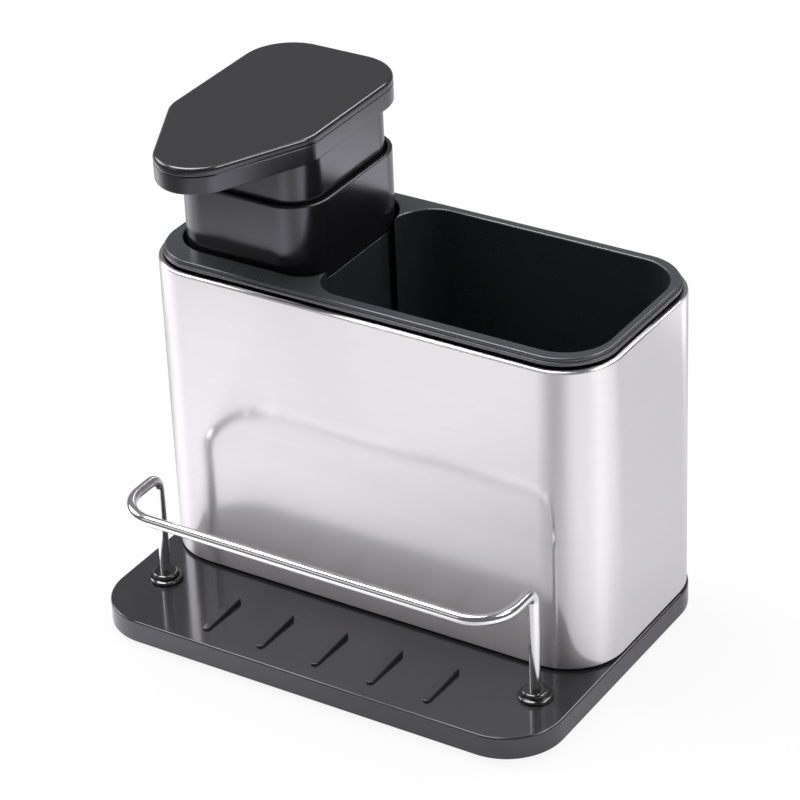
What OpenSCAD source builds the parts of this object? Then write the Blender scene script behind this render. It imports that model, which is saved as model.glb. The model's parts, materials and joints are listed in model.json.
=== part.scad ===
// Soap pump caddy: steel sleeve on a drip tray, lift-out liner with a bottle
// bay open to a brush compartment, wire sponge rail, bottle with a press pump.
// Millimetres. +X right, +Y back, +Z up, standing on Z = 0.

/* [Base tray] */
// Overall width of the tray, left to right
tray_w = 195; // [188:1:204]
// Depth of the tray in front of the sleeve
apron_d = 47; // [44:0.5:54]
// Height of the tray without its feet
tray_h = 9.2; // [8.4:0.1:11]
// Corner radius of the tray
tray_r = 23; // [20:0.5:26]
// Bevel round the top edge of the tray
tray_bevel = 0.9; // [0.5:0.1:1.4]
// Thickness of the deck
deck_t = 2.6; // [2.2:0.1:3.2]
// Thickness of the wall round the hollow underside
tray_wall = 3; // [2.4:0.1:3.6]
// Height of the plinth that lifts the sleeve off the deck
plinth_h = 1; // [0.6:0.1:1.6]
// How far the plinth sits back under the sleeve
plinth_inset = 1.3; // [0.8:0.1:2]
// Thickness of the stiffening webs under the deck
web_t = 1.8; // [1.4:0.1:2.4]

/* [Feet] */
// Diameter of a foot pad
foot_d = 16; // [12:0.5:18]
// Thickness of a foot pad
foot_t = 2; // [1.6:0.1:2.6]
// How far a pad stands out under the tray
foot_proud = 1; // [0.8:0.1:1.4]

/* [Drainage ribs] */
// Number of ribs in front of the sleeve
rib_count = 5; // [3:1:6]
// Distance from rib to rib
rib_pitch = 24.2; // [20:0.1:25]
// Length of a rib
rib_len = 22.2; // [18:0.2:24]
// Width of a rib
rib_w = 3.4; // [2.6:0.1:4]
// Height of a rib at its front end
rib_front_h = 0.9; // [0.6:0.1:1.4]
// Height of a rib at its back end
rib_back_h = 2; // [1.5:0.1:2.6]
// Distance from the front of the tray to the ribs
rib_setback = 8.4; // [7:0.2:10]

/* [Steel sleeve] */
// Height of the sleeve
sleeve_h = 125.4; // [112:0.2:134]
// Corner radius of the sleeve
sleeve_r = 22.9; // [21:0.1:24]
// Sheet thickness
sleeve_t = 0.8; // [0.6:0.1:1]
// Width of the hem turned in at the top
hem_w = 2.3; // [1.9:0.1:2.6]
// Height of the hem
hem_h = 2.2; // [1.6:0.1:3]
// Distance from each side of the tray to the sleeve
sleeve_side_gap = 0.5; // [0.3:0.1:3]
// Distance from the back of the tray to the sleeve
sleeve_back_gap = 0.5; // [0.3:0.1:1.5]

/* [Sponge rail] */
// Diameter of the wire
wire_d = 4.2; // [3.6:0.1:4.6]
// Distance of the posts from the tray's sides
post_inset = 15.7; // [14.5:0.1:20]
// Height of the wire's centre above the deck
rail_h = 45.8; // [36:0.2:52]
// Distance from the posts forward to the front bar
rail_reach = 27.3; // [25:0.1:28]
// Distance from the front of the tray back to the posts
post_setback = 30.6; // [30.6:0.1:33]
// Bend radius at the top of a post
post_bend_r = 5; // [4:0.1:6]
// Bend radius at the front corners
rail_corner_r = 15; // [12:0.5:17]
// Diameter of a ferrule's flange
ferrule_d = 13.3; // [12:0.1:14]
// Thickness of a ferrule's flange
ferrule_flange_h = 1.5; // [1.1:0.1:2]
// Diameter of a ferrule's neck
ferrule_neck_d = 10.4; // [9:0.1:11]
// Height of a ferrule's neck
ferrule_neck_h = 2; // [1.5:0.1:2.6]

/* [Liner] */
// Wall thickness of the liner
liner_wall = 1.8; // [1.4:0.1:2]
// Floor thickness of the liner
liner_floor = 2; // [1.6:0.1:2.6]
// Height of the legs under the liner
leg_h = 4; // [3.7:0.1:5]
// Shadow gap between the sleeve and the rim
rim_gap = 1.2; // [0.8:0.1:1.8]
// Height of the rim
rim_h = 2.8; // [2.2:0.1:3.6]
// How far the rim sits inside the sleeve's outline
rim_inset = 2; // [1.6:0.1:2.2]
// Step round the side of the rim
rim_step = 0.7; // [0.4:0.1:1]
// Width of the rim beside the brush compartment, from the sleeve's side
land_side = 6; // [5.4:0.1:7]
// Width of the rim in front of the brush compartment
land_front = 7.7; // [7:0.1:9]
// Width of the rim behind the brush compartment
land_back = 6.6; // [6:0.1:8]
// Width of the rim beside the bottle bay, from the sleeve's side
land_bay = 6.1; // [5.6:0.1:7]
// Width of the rim in front of the bottle bay
land_bay_front = 12.3; // [11:0.1:14]
// Corner radius of the brush compartment beside the bottle, at the front
brush_r_front = 13; // [11:0.5:15]
// Corner radius of the brush compartment beside the bottle, at the back
brush_r_back = 16; // [13:0.5:18]
// Corner radius of the brush compartment at its other end
brush_r_right = 18; // [14:0.5:20]
// Corner radius of the bottle bay beside the brush compartment, at the front
bay_r_front = 11; // [8:0.5:15]
// Corner radius of the bottle bay beside the brush compartment, at the back
bay_r_back = 20; // [14:0.5:20.5]
// How far the two compartments open into each other
bay_overlap = 0.2; // [0.1:0.1:0.8]
// Distance of the liner's legs from the sleeve's sides
leg_inset = 47; // [40:0.5:54]

/* [Bottle] */
// Width of the bottle
bottle_w = 62.3; // [60:0.1:65]
// Depth of the bottle
bottle_d = 70.6; // [68:0.2:72]
// Height of the bottle below the pump collar
bottle_h = 116.4; // [104:0.2:118]
// Corner radius of the bottle
bottle_r = 16; // [13:0.5:18]
// Wall thickness of the bottle
bottle_t = 2; // [1.6:0.1:2.6]
// Gap between bottle and bay at the left side
bay_gap_left = 0.7; // [0.5:0.1:1.2]
// Gap between bottle and bay at the side of the brush compartment
bay_gap_right = 3.1; // [2.8:0.1:4]
// Gap between bottle and bay at the front
bay_gap_front = 1.9; // [1.5:0.1:3]
// Gap between bottle and bay at the back
bay_gap_back = 0.8; // [0.6:0.1:1.4]
// Diameter of the bottle's mouth
mouth_d = 42; // [40:0.5:44]

/* [Pump collar] */
// Height of the collar
collar_h = 31.7; // [29:0.1:36]
// Wall thickness of the collar
collar_t = 1.9; // [1.6:0.1:2.2]
// Floor thickness of the collar
collar_floor = 2.4; // [2.2:0.1:3]
// Depth of the plug that enters the bottle's mouth
plug_h = 7; // [5:0.5:9]
// Wall thickness of the plug
plug_t = 1.8; // [1.4:0.1:2.2]
// Thickness of the mouth gasket
gasket_t = 1; // [0.8:0.1:1.2]
// Width of the mouth gasket
gasket_w = 4; // [3:0.1:5]

/* [Pump] */
// Bore of the cylinder
cylinder_bore = 14.4; // [13.6:0.1:15.2]
// Wall thickness of the cylinder
cylinder_t = 1.4; // [1.2:0.1:1.8]
// Diameter of the cylinder's flange
flange_d = 27; // [25:0.5:30]
// Thickness of the cylinder's flange
flange_t = 1.5; // [1.2:0.1:2]
// Diameter of the nut that holds the cylinder
nut_d = 26; // [24:0.5:28]
// Height of the nut that holds the cylinder
nut_h = 5; // [4:0.2:6]
// Height of the stem guide above the flange
guide_h = 6; // [4:0.2:8]
// Depth of the stem guide inside the cylinder
guide_plug_h = 4; // [3:0.2:6]
// Diameter of the stem
stem_d = 7.2; // [6.6:0.1:7.6]
// Bore of the stem
stem_bore = 3.6; // [3:0.1:4]
// Height of the piston
piston_h = 8; // [6:0.5:10]
// Length of the spring at rest
spring_len = 34; // [32:0.5:38]
// Thickness of the spring wire
spring_wire = 1; // [0.8:0.1:1.2]
// Turns of the spring
spring_turns = 8; // [6:1:10]
// Travel of the pump
stroke = 12; // [9:0.5:13]
// Gap left between head and collar when the head is pressed down
press_gap = 6.2; // [3:0.1:8]
// Diameter of the inlet ball
inlet_ball_d = 4.8; // [4.4:0.1:5.2]
// Height of the inlet valve's chamber
valve_h = 6; // [5.4:0.1:7]
// Diameter of the outlet ball
outlet_ball_d = 4.2; // [3.8:0.1:4.4]
// Outer diameter of the dip tube
dip_d = 6; // [5.4:0.1:6.6]
// Bore of the dip tube
dip_bore = 4.2; // [3.6:0.1:4.6]
// Gap between the dip tube and the bottle's floor
dip_gap = 2.4; // [1.5:0.1:4]

/* [Pump head] */
// How far the head stands out past its skirt at each side
head_side = 2.95; // [2:0.05:3.5]
// How far the head stands out past its skirt at the back
head_behind = 7.9; // [6:0.1:8.3]
// How far the nose stands out past the skirt
nose_reach = 40; // [34:0.5:44]
// Distance of the shoulders' centres behind the skirt's front
shoulder_in = 6.3; // [3:0.1:9]
// Radius of the nose
nose_r = 16; // [13:0.5:18]
// Radius of the shoulders
shoulder_r = 13.8; // [10:0.2:18]
// Radius of the back corners
head_r = 19.5; // [16:0.5:21]
// Height of the head's side under its cover
cap_h = 7.1; // [7.1:0.1:9]
// Wall thickness of the head
cap_wall = 2; // [1.6:0.1:2.4]
// Floor thickness of the head
cap_floor = 1.8; // [1.5:0.1:1.9]
// Thickness of the top cover
cover_h = 3.2; // [2.6:0.1:4]
// Bevel round the top cover
cover_bevel = 0.8; // [0.5:0.1:1.4]
// Depth of the lip under the cover
lip_h = 1.6; // [1:0.1:2.4]
// Gap between the skirt and the collar
skirt_gap = 1; // [0.7:0.1:1.3]
// Wall thickness of the skirt
skirt_t = 1.8; // [1.4:0.1:2.2]
// How far the skirt reaches into the collar at rest
skirt_in = 15; // [14:0.2:16]
// Diameter of the stem socket
socket_d = 13; // [12:0.5:14]
// Depth of the stem socket
socket_h = 11.6; // [10:0.2:13]
// Outer diameter of the spout tube
spout_d = 4.8; // [4.4:0.1:5]
// Bore of the spout tube
spout_bore = 3; // [2.6:0.1:3.2]
// Distance from the tip of the nose back to the nozzle
nozzle_back = 11; // [9:0.5:14]
// Outer diameter of the nozzle
nozzle_d = 6; // [5.4:0.1:6.6]
// How far the nozzle stands out under the nose
nozzle_proud = 2; // [1.4:0.1:3]

/* [Fasteners] */
// Shank diameter of the base screws
screw_d = 3.8; // [3.4:0.1:4]
// Head diameter of the base screws
screw_head_d = 7.6; // [7:0.1:8.4]
// Head height of the base screws
screw_head_h = 2.2; // [1.8:0.1:2.6]
// Diameter of the threaded bushes in the sleeve's floor
bush_d = 8; // [7:0.1:9]
// Height of the bushes
bush_h = 3; // [2.4:0.1:3.4]
// Gap between a foot's boss and the head of the base screw beside it
screw_gap = 1; // [0.4:0.1:4]
// Distance of the base screws from the sleeve's front and back
screw_end = 15; // [13:0.5:18]
// Width of a rail nut across its flats
rail_nut_af = 7; // [6.6:0.1:8]
// Height of a rail nut
rail_nut_h = 3.2; // [2.6:0.1:3.6]

/* [Hidden] */
$fn = 72;
// Overrun of every cut past its surface
cut = 1;
// Running clearance of a shaft in its hole
fit = 0.06;
// Clearance between pieces that lift apart
lift_clear = 0.4;
// Clearance of a plug in a mouth
plug_clear = 0.3;
// Clearance of screws and posts in their holes
hole_clear = 0.2;
// Clearance between a stop and the piece it stops
stop_gap = 0.3;
// Wall left round a small bore
small_wall = 1.6;
// Thickness of the floor under the inlet valve
valve_floor = 1.6;
// Length of the tail that holds the dip tube
tail_len = 10;
// Depth of the drive in a screw head
drive_depth = 1.2;
// Length that a post or screw shows past its nut
thread_out = 1.2;
// Shares: drive width of a screw head, ball seat of a ball, spring's mean of the bore
drive_share = 0.4;
seat_share = 0.66;
spring_mean_share = 0.78;
// Rings in a spring turn and sides of its wire
spring_rings = 8;
spring_sides = 6;

sleeve_w = tray_w - 2 * sleeve_side_gap;
// The sleeve is as deep as the bottle, the liner's wall and the hem need
sleeve_d = land_bay_front + bay_gap_front + bottle_d + bay_gap_back + liner_wall + lift_clear + hem_w;
tray_d = apron_d + sleeve_d + sleeve_back_gap;
deck_z = foot_proud + tray_h;
deck_low = deck_z - deck_t;
front_y = -tray_d / 2;
sleeve_y = tray_d / 2 - sleeve_back_gap - sleeve_d / 2;
sleeve_left = -sleeve_w / 2;
sleeve_front = sleeve_y - sleeve_d / 2;
sleeve_back = sleeve_y + sleeve_d / 2;
sleeve_z = deck_z + plinth_h;
sleeve_floor_z = sleeve_z + sleeve_t;
sleeve_top = sleeve_z + sleeve_h;
rim_z = sleeve_top + rim_gap;
rim_top = rim_z + rim_h;
liner_z = sleeve_floor_z + leg_h;
bay_floor_z = liner_z + liner_floor;

// Bay and brush compartment, inside faces
bay_x0 = sleeve_left + land_bay;
bay_x1 = bay_x0 + bay_gap_left + bottle_w + bay_gap_right;
bay_y1 = sleeve_back - hem_w - lift_clear - liner_wall;
bay_y0 = sleeve_front + land_bay_front;
bay_r = bottle_r + bay_gap_left;
brush_x0 = bay_x1 - bay_overlap;
brush_x1 = sleeve_w / 2 - land_side;
brush_y0 = sleeve_front + land_front;
brush_y1 = sleeve_back - land_back;
// Corner radii from the front left corner, counter-clockwise
bay_radii = [bay_r, bay_r_front, bay_r_back, bay_r];
brush_radii = [brush_r_front, brush_r_right, brush_r_right, brush_r_back];

// Pump axis and the bottle round it
pump_x = bay_x0 + bay_gap_left + bottle_w / 2;
pump_y = bay_y1 - bay_gap_back - bottle_d / 2;
bottle_top = bay_floor_z + bottle_h;
collar_top = bottle_top + collar_h;
collar_floor_top = bottle_top + collar_floor;
mouth_r = mouth_d / 2;
plug_r = mouth_r - plug_clear;
gasket_r = mouth_r + plug_clear;

// Pump works
bore_r = cylinder_bore / 2;
cylinder_r = bore_r + cylinder_t;
cylinder_top = collar_floor_top + flange_t;
guide_low = cylinder_top - guide_plug_h;
piston_top = guide_low - stop_gap;
piston_z = piston_top - piston_h;
spring_seat = piston_z - spring_len;
spring_mean = bore_r * spring_mean_share;
valve_z = spring_seat - valve_h;
valve_r = inlet_ball_d / 2 + plug_clear;
tail_top = valve_z - valve_floor;
dip_low = bay_floor_z + bottle_t + dip_gap;
stem_r = stem_d / 2;
outlet_r = outlet_ball_d / 2;
outlet_bore_r = outlet_r + hole_clear;

// Head
head_z = collar_top + stroke + press_gap;
cover_z = head_z + cap_h;
head_top = cover_z + cover_h;
skirt_w = bottle_w - 2 * (collar_t + skirt_gap);
skirt_d = bottle_d - 2 * (collar_t + skirt_gap);
skirt_r = bottle_r - collar_t - skirt_gap;
skirt_z = collar_top - skirt_in;
head_w = skirt_w + 2 * head_side;
head_back = skirt_d / 2 + head_behind;
head_nose = skirt_d / 2 + nose_reach;
shoulder_y = skirt_d / 2 - shoulder_in;
spout_z = head_z + cap_floor + spout_d / 2 + fit;
stem_top = head_z;
outlet_seat_z = stem_top - outlet_ball_d - hole_clear;
nozzle_y = -head_nose + nozzle_back;
nozzle_boss_r = nozzle_d / 2 + small_wall;
// Centres and radii of the head's corners, counter-clockwise from the nose
head_corners = [
  [0, -head_nose + nose_r, nose_r],
  [head_w / 2 - shoulder_r, -shoulder_y, shoulder_r],
  [head_w / 2 - head_r, head_back - head_r, head_r],
  [-head_w / 2 + head_r, head_back - head_r, head_r],
  [-head_w / 2 + shoulder_r, -shoulder_y, shoulder_r]
];

// Rail
wire_r = wire_d / 2;
post_x = tray_w / 2 - post_inset;
post_y = front_y + post_setback;
rail_z = deck_z + rail_h;
bar_y = post_y - rail_reach;
post_low = deck_low - rail_nut_h - thread_out;

// Places of the feet and of the base screws
foot_out = (tray_r - tray_wall - foot_d / 2) / sqrt(2);
foot_x = tray_w / 2 - tray_r + foot_out;
foot_y = tray_d / 2 - tray_r + foot_out;
boss_r = foot_d / 2 + small_wall;
screw_x = foot_x - boss_r - screw_gap - screw_head_d / 2;
screw_y = [sleeve_front + screw_end, sleeve_back - screw_end];
leg_r = liner_wall * 2;
leg_x = sleeve_w / 2 - leg_inset;

// A plate with four equal round corners
module slab(w, d, r, h) {
  linear_extrude(h) {
    square([w - 2 * r, d], center = true);
    square([w, d - 2 * r], center = true);
    for (x = [-1, 1], y = [-1, 1]) translate([x * (w / 2 - r), y * (d / 2 - r)]) circle(r);
  }
}

// The same plate with every side leaning out by grow over its height
module lean_slab(w, d, r, h, grow) {
  run_x = w - 2 * r;
  run_y = d - 2 * r;
  translate([-run_x / 2, 0, 0]) rotate([90, 0, 90]) linear_extrude(run_x)
    polygon([[-d / 2, 0], [d / 2, 0], [d / 2 + grow, h], [-d / 2 - grow, h]]);
  translate([0, run_y / 2, 0]) rotate([90, 0, 0]) linear_extrude(run_y)
    polygon([[-w / 2, 0], [w / 2, 0], [w / 2 + grow, h], [-w / 2 - grow, h]]);
  for (x = [-1, 1], y = [-1, 1]) translate([x * run_x / 2, y * run_y / 2, 0])
    cylinder(h = h, r1 = r, r2 = r + grow);
}

// A plate with a bevel round its top edge
module bevel_slab(w, d, r, h, bevel) {
  slab(w, d, r, h - bevel);
  slab(w - 2 * bevel, d - 2 * bevel, r - bevel, h - bevel / 2);
  translate([0, 0, h - bevel]) lean_slab(w, d, r, bevel, -bevel);
}

// A plate between two x and two y values, with its own radius at each corner
module pocket(x0, x1, y0, y1, r, h) {
  linear_extrude(h) {
    polygon([[x0 + r[0], y0], [x1 - r[1], y0], [x1, y0 + r[1]], [x1, y1 - r[2]],
      [x1 - r[2], y1], [x0 + r[3], y1], [x0, y1 - r[3]], [x0, y0 + r[0]]]);
    translate([x0 + r[0], y0 + r[0]]) circle(r[0]);
    translate([x1 - r[1], y0 + r[1]]) circle(r[1]);
    translate([x1 - r[2], y1 - r[2]]) circle(r[2]);
    translate([x0 + r[3], y1 - r[3]]) circle(r[3]);
  }
}

module ring(outer_r, inner_r, h) {
  difference() {
    cylinder(h = h, r = outer_r);
    translate([0, 0, -cut]) cylinder(h = h + 2 * cut, r = inner_r);
  }
}

// Touching points of the line round the outside of two circles
function tangent(a, b) = let (
  d = [b[0] - a[0], b[1] - a[1]],
  turn = atan2(d[1], d[0]) - acos((a[2] - b[2]) / norm(d)))
  [[a[0] + a[2] * cos(turn), a[1] + a[2] * sin(turn)],
   [b[0] + b[2] * cos(turn), b[1] + b[2] * sin(turn)]];

// The head's outline, drawn in by inset
module head_plate(inset, h) {
  corners = [for (c = head_corners) [c[0], c[1], c[2] - inset]];
  n = len(corners);
  linear_extrude(h) {
    polygon([for (i = [0:n - 1]) each tangent(corners[i], corners[(i + 1) % n])]);
    for (c = corners) translate([c[0], c[1]]) circle(c[2]);
  }
}

module at_pump(z) {
  translate([pump_x, pump_y, z]) children();
}

module at_posts(z) {
  for (x = [-post_x, post_x]) translate([x, post_y, z]) children();
}

module at_screws(z) {
  for (x = [-screw_x, screw_x], y = screw_y) translate([x, y, z]) children();
}

module at_feet(z) {
  for (x = [-foot_x, foot_x], y = [-foot_y, foot_y]) translate([x, y, z]) children();
}

// One drainage rib, rising towards the back
module rib() {
  r = rib_w / 2;
  intersection() {
    linear_extrude(rib_back_h) {
      translate([-r, r]) square([rib_w, rib_len - rib_w]);
      for (y = [r, rib_len - r]) translate([0, y]) circle(r);
    }
    translate([-r, 0, 0]) rotate([90, 0, 90]) linear_extrude(rib_w)
      polygon([[0, 0], [rib_len, 0], [rib_len, rib_back_h], [0, rib_front_h]]);
  }
}

module base_tray() {
  color("#3c3c3f") difference() {
    union() {
      difference() {
        translate([0, 0, foot_proud]) bevel_slab(tray_w, tray_d, tray_r, tray_h, tray_bevel);
        slab(tray_w - 2 * tray_wall, tray_d - 2 * tray_wall, tray_r - tray_wall, deck_low);
      }
      translate([0, sleeve_y, deck_z]) slab(sleeve_w - 2 * plinth_inset, sleeve_d - 2 * plinth_inset,
        sleeve_r - plinth_inset, plinth_h);
      for (i = [0:rib_count - 1])
        translate([(i - (rib_count - 1) / 2) * rib_pitch, front_y + rib_setback, deck_z]) rib();
      at_feet(foot_proud) cylinder(h = deck_low - foot_proud, r = boss_r);
      for (x = [-tray_w / 6, tray_w / 6])
        translate([x - web_t / 2, front_y + tray_wall / 2, foot_proud + foot_t])
          cube([web_t, tray_d - tray_wall, deck_low - foot_proud - foot_t]);
    }
    at_feet(0) cylinder(h = foot_t, r = foot_d / 2 + fit);
    at_posts(deck_low - cut) cylinder(h = deck_t + 2 * cut, r = wire_r + hole_clear);
    at_screws(deck_low - cut) cylinder(h = deck_t + plinth_h + 2 * cut, r = screw_d / 2 + hole_clear);
  }
}

module tray_feet() {
  color("#1c1c1e") at_feet(0) cylinder(h = foot_t, r = foot_d / 2);
}

module steel_sleeve() {
  edge = sleeve_t / 2;
  color("silver") translate([0, sleeve_y, sleeve_z]) difference() {
    bevel_slab(sleeve_w, sleeve_d, sleeve_r, sleeve_h, edge);
    translate([0, 0, sleeve_t]) slab(sleeve_w - 2 * sleeve_t, sleeve_d - 2 * sleeve_t,
      sleeve_r - sleeve_t, sleeve_h - sleeve_t - hem_h);
    translate([0, 0, sleeve_t]) slab(sleeve_w - 2 * hem_w, sleeve_d - 2 * hem_w,
      sleeve_r - hem_w, sleeve_h);
    translate([0, -sleeve_y, -sleeve_z]) at_screws(sleeve_z - cut)
      cylinder(h = sleeve_t + 2 * cut, r = screw_d / 2 + hole_clear);
  }
}

module base_screws() {
  color("#c8c8cc") at_screws(deck_low) {
    cylinder(h = deck_t + plinth_h + sleeve_t + bush_h, r = screw_d / 2);
    translate([0, 0, -screw_head_h]) difference() {
      cylinder(h = screw_head_h, r = screw_head_d / 2);
      translate([0, 0, -cut]) cylinder(h = drive_depth + cut, r = screw_head_d / 2 * drive_share, $fn = 6);
    }
  }
}

module sleeve_bushes() {
  color("#a8a8ac") at_screws(sleeve_floor_z) ring(bush_d / 2, screw_d / 2, bush_h);
}

// Bent rod: posts, top bends, short arms, front corners and the front bar
module sponge_rail() {
  color("#d8d8da") {
    at_posts(post_low) cylinder(h = rail_z - post_bend_r - post_low, r = wire_r);
    for (x = [-post_x, post_x]) {
      translate([x, post_y - post_bend_r, rail_z - post_bend_r]) rotate([90, 0, 90])
        rotate_extrude(angle = 90) translate([post_bend_r, 0]) circle(wire_r);
      translate([x, post_y - post_bend_r, rail_z]) rotate([90, 0, 0])
        cylinder(h = rail_reach - post_bend_r - rail_corner_r, r = wire_r);
    }
    for (side = [-1, 1]) translate([side * (post_x - rail_corner_r), bar_y + rail_corner_r, rail_z])
      rotate([0, 0, side > 0 ? 270 : 180]) rotate_extrude(angle = 90)
        translate([rail_corner_r, 0]) circle(wire_r);
    translate([rail_corner_r - post_x, bar_y, rail_z]) rotate([0, 90, 0])
      cylinder(h = 2 * (post_x - rail_corner_r), r = wire_r);
  }
}

module rail_ferrules() {
  color("#b8b8bc") at_posts(deck_z) difference() {
    union() {
      cylinder(h = ferrule_flange_h / 2, r = ferrule_d / 2);
      translate([0, 0, ferrule_flange_h / 2]) cylinder(h = ferrule_flange_h / 2,
        r1 = ferrule_d / 2, r2 = ferrule_d / 2 - ferrule_flange_h / 2);
      cylinder(h = ferrule_flange_h + ferrule_neck_h - ferrule_flange_h / 2, r = ferrule_neck_d / 2);
      translate([0, 0, ferrule_neck_h + ferrule_flange_h / 2]) cylinder(h = ferrule_flange_h / 2,
        r1 = ferrule_neck_d / 2, r2 = ferrule_neck_d / 2 - ferrule_flange_h / 2);
    }
    translate([0, 0, -cut]) cylinder(h = ferrule_flange_h + ferrule_neck_h + 2 * cut, r = wire_r + fit);
  }
}

module rail_nuts() {
  color("#a8a8ac") at_posts(deck_low - rail_nut_h) difference() {
    cylinder(h = rail_nut_h, r = rail_nut_af / 2 / cos(30), $fn = 6);
    translate([0, 0, -cut]) cylinder(h = rail_nut_h + 2 * cut, r = wire_r + fit);
  }
}

// Both compartments, grown by wall
module cups(wall, h) {
  pocket(bay_x0 - wall, bay_x1 + wall, bay_y0 - wall, bay_y1 + wall,
    [for (r = bay_radii) r + wall], h);
  pocket(brush_x0 - wall, brush_x1 + wall, brush_y0 - wall, brush_y1 + wall,
    [for (r = brush_radii) r + wall], h);
}

module inner_liner() {
  rim_w = sleeve_w - 2 * rim_inset;
  rim_d = sleeve_d - 2 * rim_inset;
  rim_r = sleeve_r - rim_inset;
  lower_h = rim_h / 2;
  color("#343437") {
    difference() {
      union() {
        translate([0, 0, liner_z]) cups(liner_wall, rim_z + lower_h / 2 - liner_z);
        translate([0, sleeve_y, rim_z]) slab(rim_w, rim_d, rim_r, lower_h);
        translate([0, sleeve_y, rim_z + lower_h / 2]) bevel_slab(rim_w - 2 * rim_step,
          rim_d - 2 * rim_step, rim_r - rim_step, rim_h - lower_h / 2, rim_step);
      }
      translate([0, 0, bay_floor_z]) cups(0, rim_top);
    }
    for (x = [-leg_x, leg_x], y = [bay_y0 + leg_r, brush_y1 - leg_r])
      translate([x, y, sleeve_floor_z]) cylinder(h = leg_h + liner_floor / 2, r = leg_r);
  }
}

module soap_bottle() {
  color("#2c2c2f") at_pump(bay_floor_z) difference() {
    slab(bottle_w, bottle_d, bottle_r, bottle_h);
    translate([0, 0, bottle_t]) slab(bottle_w - 2 * bottle_t, bottle_d - 2 * bottle_t,
      bottle_r - bottle_t, bottle_h - 2 * bottle_t);
    translate([0, 0, bottle_h - bottle_t - cut]) cylinder(h = bottle_t + 2 * cut, r = mouth_r);
  }
}

module pump_collar() {
  color("#2c2c2f") at_pump(bottle_top) {
    difference() {
      bevel_slab(bottle_w, bottle_d, bottle_r, collar_h, collar_t / 3);
      translate([0, 0, collar_floor]) slab(bottle_w - 2 * collar_t, bottle_d - 2 * collar_t,
        bottle_r - collar_t, collar_h);
      translate([0, 0, -cut]) cylinder(h = collar_floor + 2 * cut, r = cylinder_r + hole_clear);
      translate([0, 0, -cut]) difference() {
        cylinder(h = gasket_t + cut, r = gasket_r + gasket_w + fit);
        cylinder(h = gasket_t + 2 * cut, r = gasket_r - fit);
      }
    }
    translate([0, 0, -plug_h]) ring(plug_r, plug_r - plug_t, plug_h);
  }
}

module mouth_gasket() {
  color("#4a4a4e") at_pump(bottle_top) ring(gasket_r + gasket_w, gasket_r, gasket_t);
}

module pump_cylinder() {
  color("#e4e4e0") at_pump(0) difference() {
    union() {
      translate([0, 0, collar_floor_top]) cylinder(h = flange_t, r = flange_d / 2);
      translate([0, 0, spring_seat - cylinder_t])
        cylinder(h = cylinder_top - spring_seat + cylinder_t, r = cylinder_r);
      translate([0, 0, tail_top]) cylinder(h = spring_seat - tail_top, r = valve_r + cylinder_t);
      translate([0, 0, tail_top - tail_len]) cylinder(h = tail_len, r = dip_d / 2 + cylinder_t);
    }
    translate([0, 0, spring_seat]) cylinder(h = cylinder_top - spring_seat + cut, r = bore_r);
    translate([0, 0, valve_z]) cylinder(h = valve_h + cut, r = valve_r);
    translate([0, 0, tail_top - cut])
      cylinder(h = valve_floor + 2 * cut, r = inlet_ball_d / 2 * seat_share);
    translate([0, 0, tail_top - tail_len - cut]) cylinder(h = tail_len + cut, r = dip_d / 2);
  }
}

module cylinder_nut() {
  color("#d4d4d0") at_pump(bottle_top - nut_h) ring(nut_d / 2, cylinder_r, nut_h);
}

module stem_guide() {
  guide_r = (cylinder_r + flange_d / 2) / 2;
  color("#d4d4d0") at_pump(cylinder_top) difference() {
    union() {
      cylinder(h = guide_h, r = guide_r);
      translate([0, 0, -guide_plug_h]) cylinder(h = guide_plug_h, r = bore_r);
    }
    translate([0, 0, -guide_plug_h - cut]) cylinder(h = guide_plug_h + guide_h + 2 * cut, r = stem_r + fit);
  }
}

module inlet_ball() {
  ball_r = inlet_ball_d / 2;
  seat_r = ball_r * seat_share;
  rise = sqrt(ball_r * ball_r - seat_r * seat_r);
  color("#c0c0c4") at_pump(valve_z + rise + fit) sphere(ball_r);
}

// Round wire wound on a cylinder, level at both ends
module coil(mean_r, wire, length, turns) {
  r = wire / 2;
  rings = turns * spring_rings;
  climb = (length - wire) / turns;
  lean = atan2(climb, 2 * PI * mean_r);
  pts = [for (i = [0:rings]) let (t = i * 360 / spring_rings, z = r + (length - wire) * i / rings)
    for (j = [0:spring_sides - 1]) let (a = j * 360 / spring_sides,
      out = mean_r + r * cos(a), up = r * sin(a))
      [out * cos(t) + up * sin(lean) * sin(t), out * sin(t) - up * sin(lean) * cos(t), z + up * cos(lean)]];
  side = [for (i = [0:rings - 1], j = [0:spring_sides - 1]) let (
    a = i * spring_sides + j, b = i * spring_sides + (j + 1) % spring_sides)
    each [[a, a + spring_sides, b], [b, a + spring_sides, b + spring_sides]]];
  last = rings * spring_sides;
  ends = [for (j = [1:spring_sides - 2]) each [[0, j, j + 1], [last, last + j + 1, last + j]]];
  echo(least_gap = climb * cos(lean) - wire);
  polyhedron(pts, concat(side, ends));
}

module pump_spring() {
  color("#c8c8cc") at_pump(spring_seat) coil(spring_mean, spring_wire, spring_len, spring_turns);
}

module dip_tube() {
  color("#e4e4e0") at_pump(dip_low) ring(dip_d / 2, dip_bore / 2, tail_top - dip_low);
}

module pump_stem() {
  color("#e4e4e0") at_pump(piston_z) difference() {
    cylinder(h = stem_top - piston_z, r = stem_r);
    translate([0, 0, -cut]) cylinder(h = stem_top - piston_z + 2 * cut, r = stem_bore / 2);
    translate([0, 0, outlet_seat_z - piston_z])
      cylinder(h = stem_top - outlet_seat_z + cut, r = outlet_bore_r);
  }
}

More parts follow.
